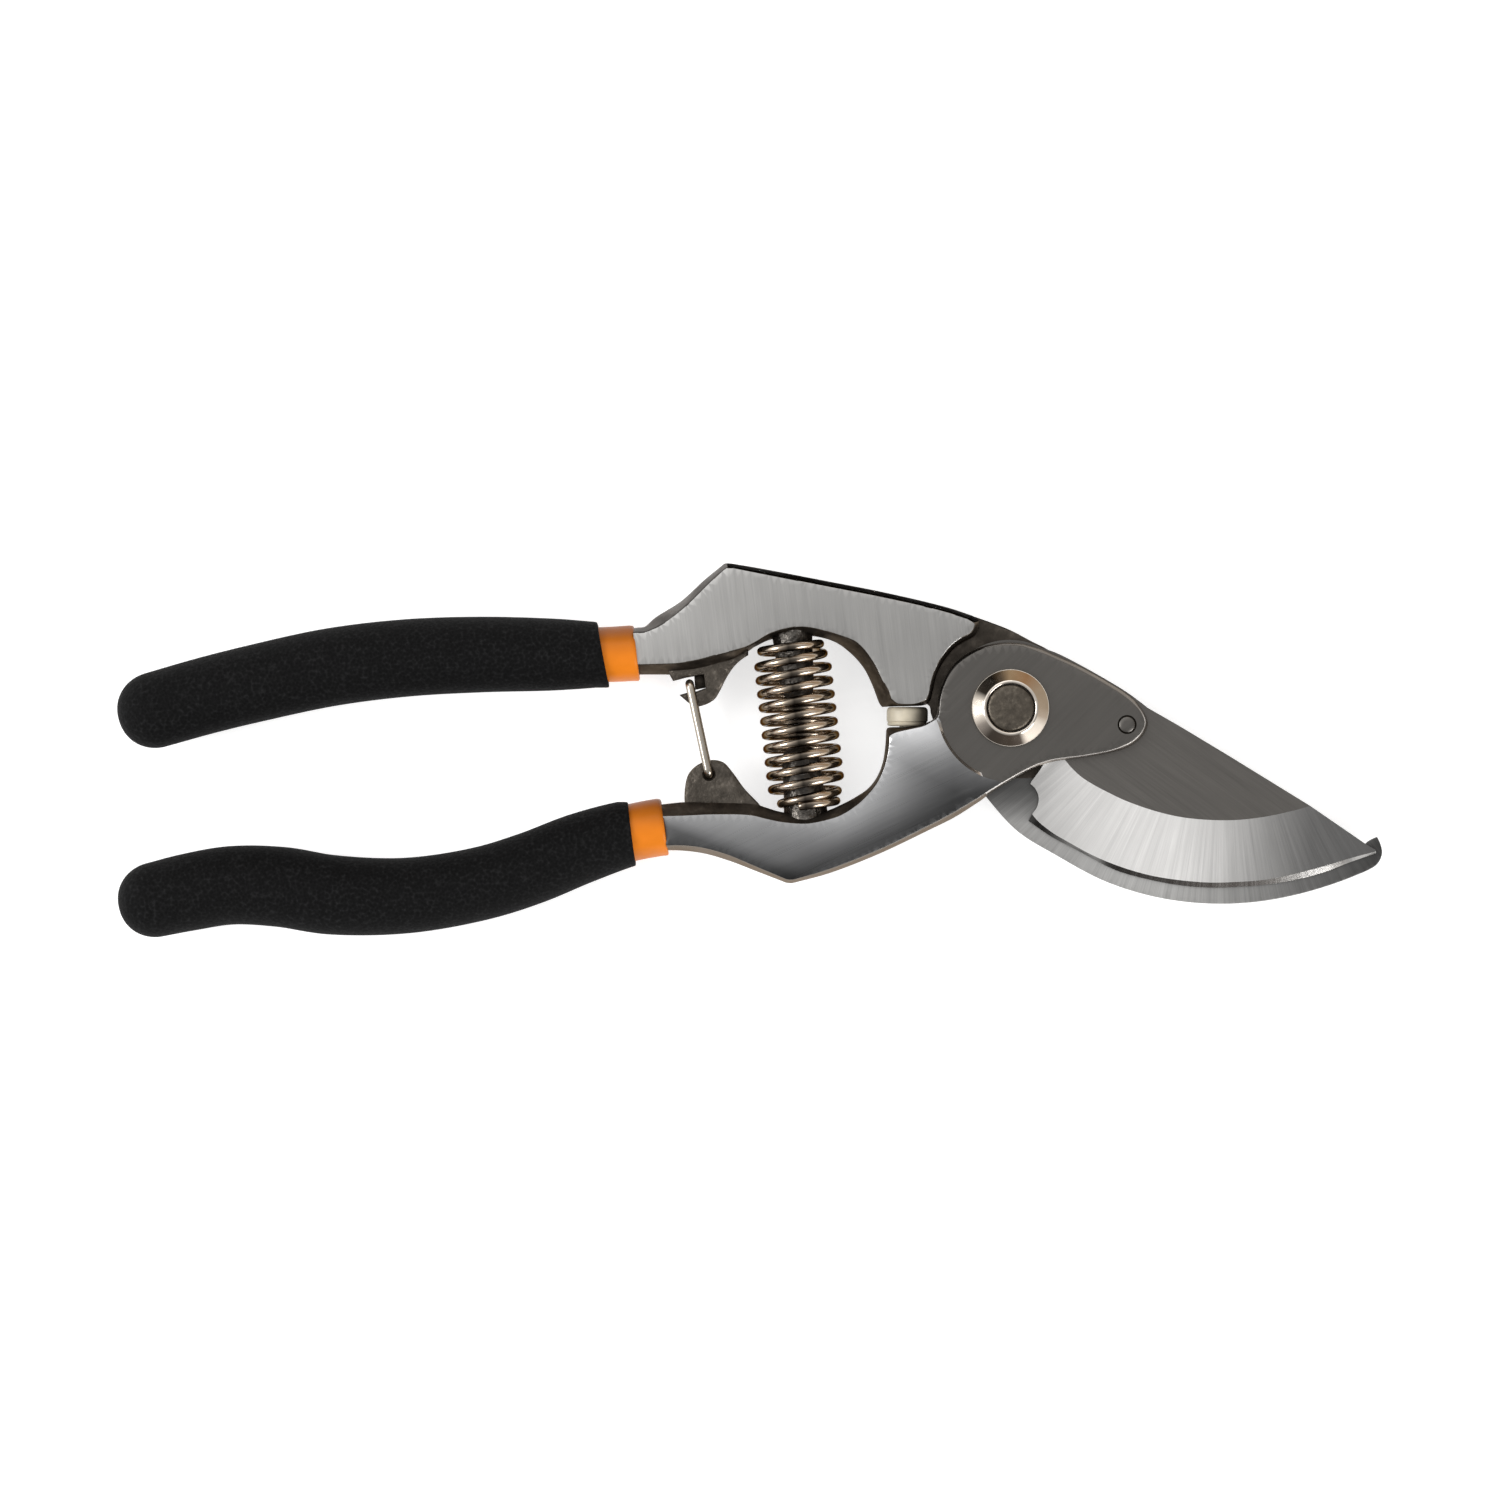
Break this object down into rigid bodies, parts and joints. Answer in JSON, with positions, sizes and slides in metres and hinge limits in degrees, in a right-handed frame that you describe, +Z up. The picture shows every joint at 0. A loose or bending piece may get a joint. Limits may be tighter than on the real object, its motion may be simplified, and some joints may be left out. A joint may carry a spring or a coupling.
{
  "type": "bypass pruner",
  "caption": "Forged hand pruner for stems: a curved blade passes a hook, with dipped grips, a coil spring between the handles and a wire bail latch.",
  "frame": {"origin": "on the pivot axis, at the flat underside of the pivot rivet's back head, which the tool rests on", "axes": "+X toward the tip of the blade, +Y toward the upper handle (the one with the hook), +Z up through the front face along the pivot axis"},
  "size_m": [0.222, 0.0655, 0.0149],
  "materials": {
    "forged_steel": "flat faces brushed across, drafted sides dark and as forged",
    "satin_steel": "dark satin, finely brushed",
    "blade_steel": "ground, brushed bevel",
    "rivet_steel": "peened, rough",
    "bushing_bronze": "turned",
    "nickel": "bright nickel plate",
    "spring_wire": "bright drawn wire, warm grey",
    "cream_nylon": "satin",
    "orange_vinyl": "glossy dipped vinyl",
    "black_vinyl": "matte, finely pebbled"
  },
  "bodies": {
    "hook_handle": {"hook_handle": "forged_steel", "upper_grip_sleeve": "orange_vinyl", "upper_grip": "black_vinyl", "pivot_rivet": "rivet_steel", "pivot_bushing": "bushing_bronze", "pivot_collar": "nickel", "return_spring": "spring_wire"},
    "blade_handle": {"blade_handle": "satin_steel", "cutting_blade": "blade_steel", "blade_rivet": "rivet_steel", "bumper": "cream_nylon", "lower_grip_sleeve": "orange_vinyl", "lower_grip": "black_vinyl"},
    "latch": {"latch_bail": "nickel"}
  },
  "joints": [
    {"name": "pivot", "type": "hinge", "parent": "hook_handle", "child": "blade_handle", "pos_m": [0, 0, 0.0072], "axis": [0, 0, 1], "range_deg": [0, 30], "deforming": ["return_spring"]},
    {"name": "latch_swing", "type": "hinge", "parent": "blade_handle", "child": "latch", "pos_m": [-0.0527, -0.0116, 0.0072], "axis": [0, 0, 1], "range_deg": [0, 80]}
  ]
}
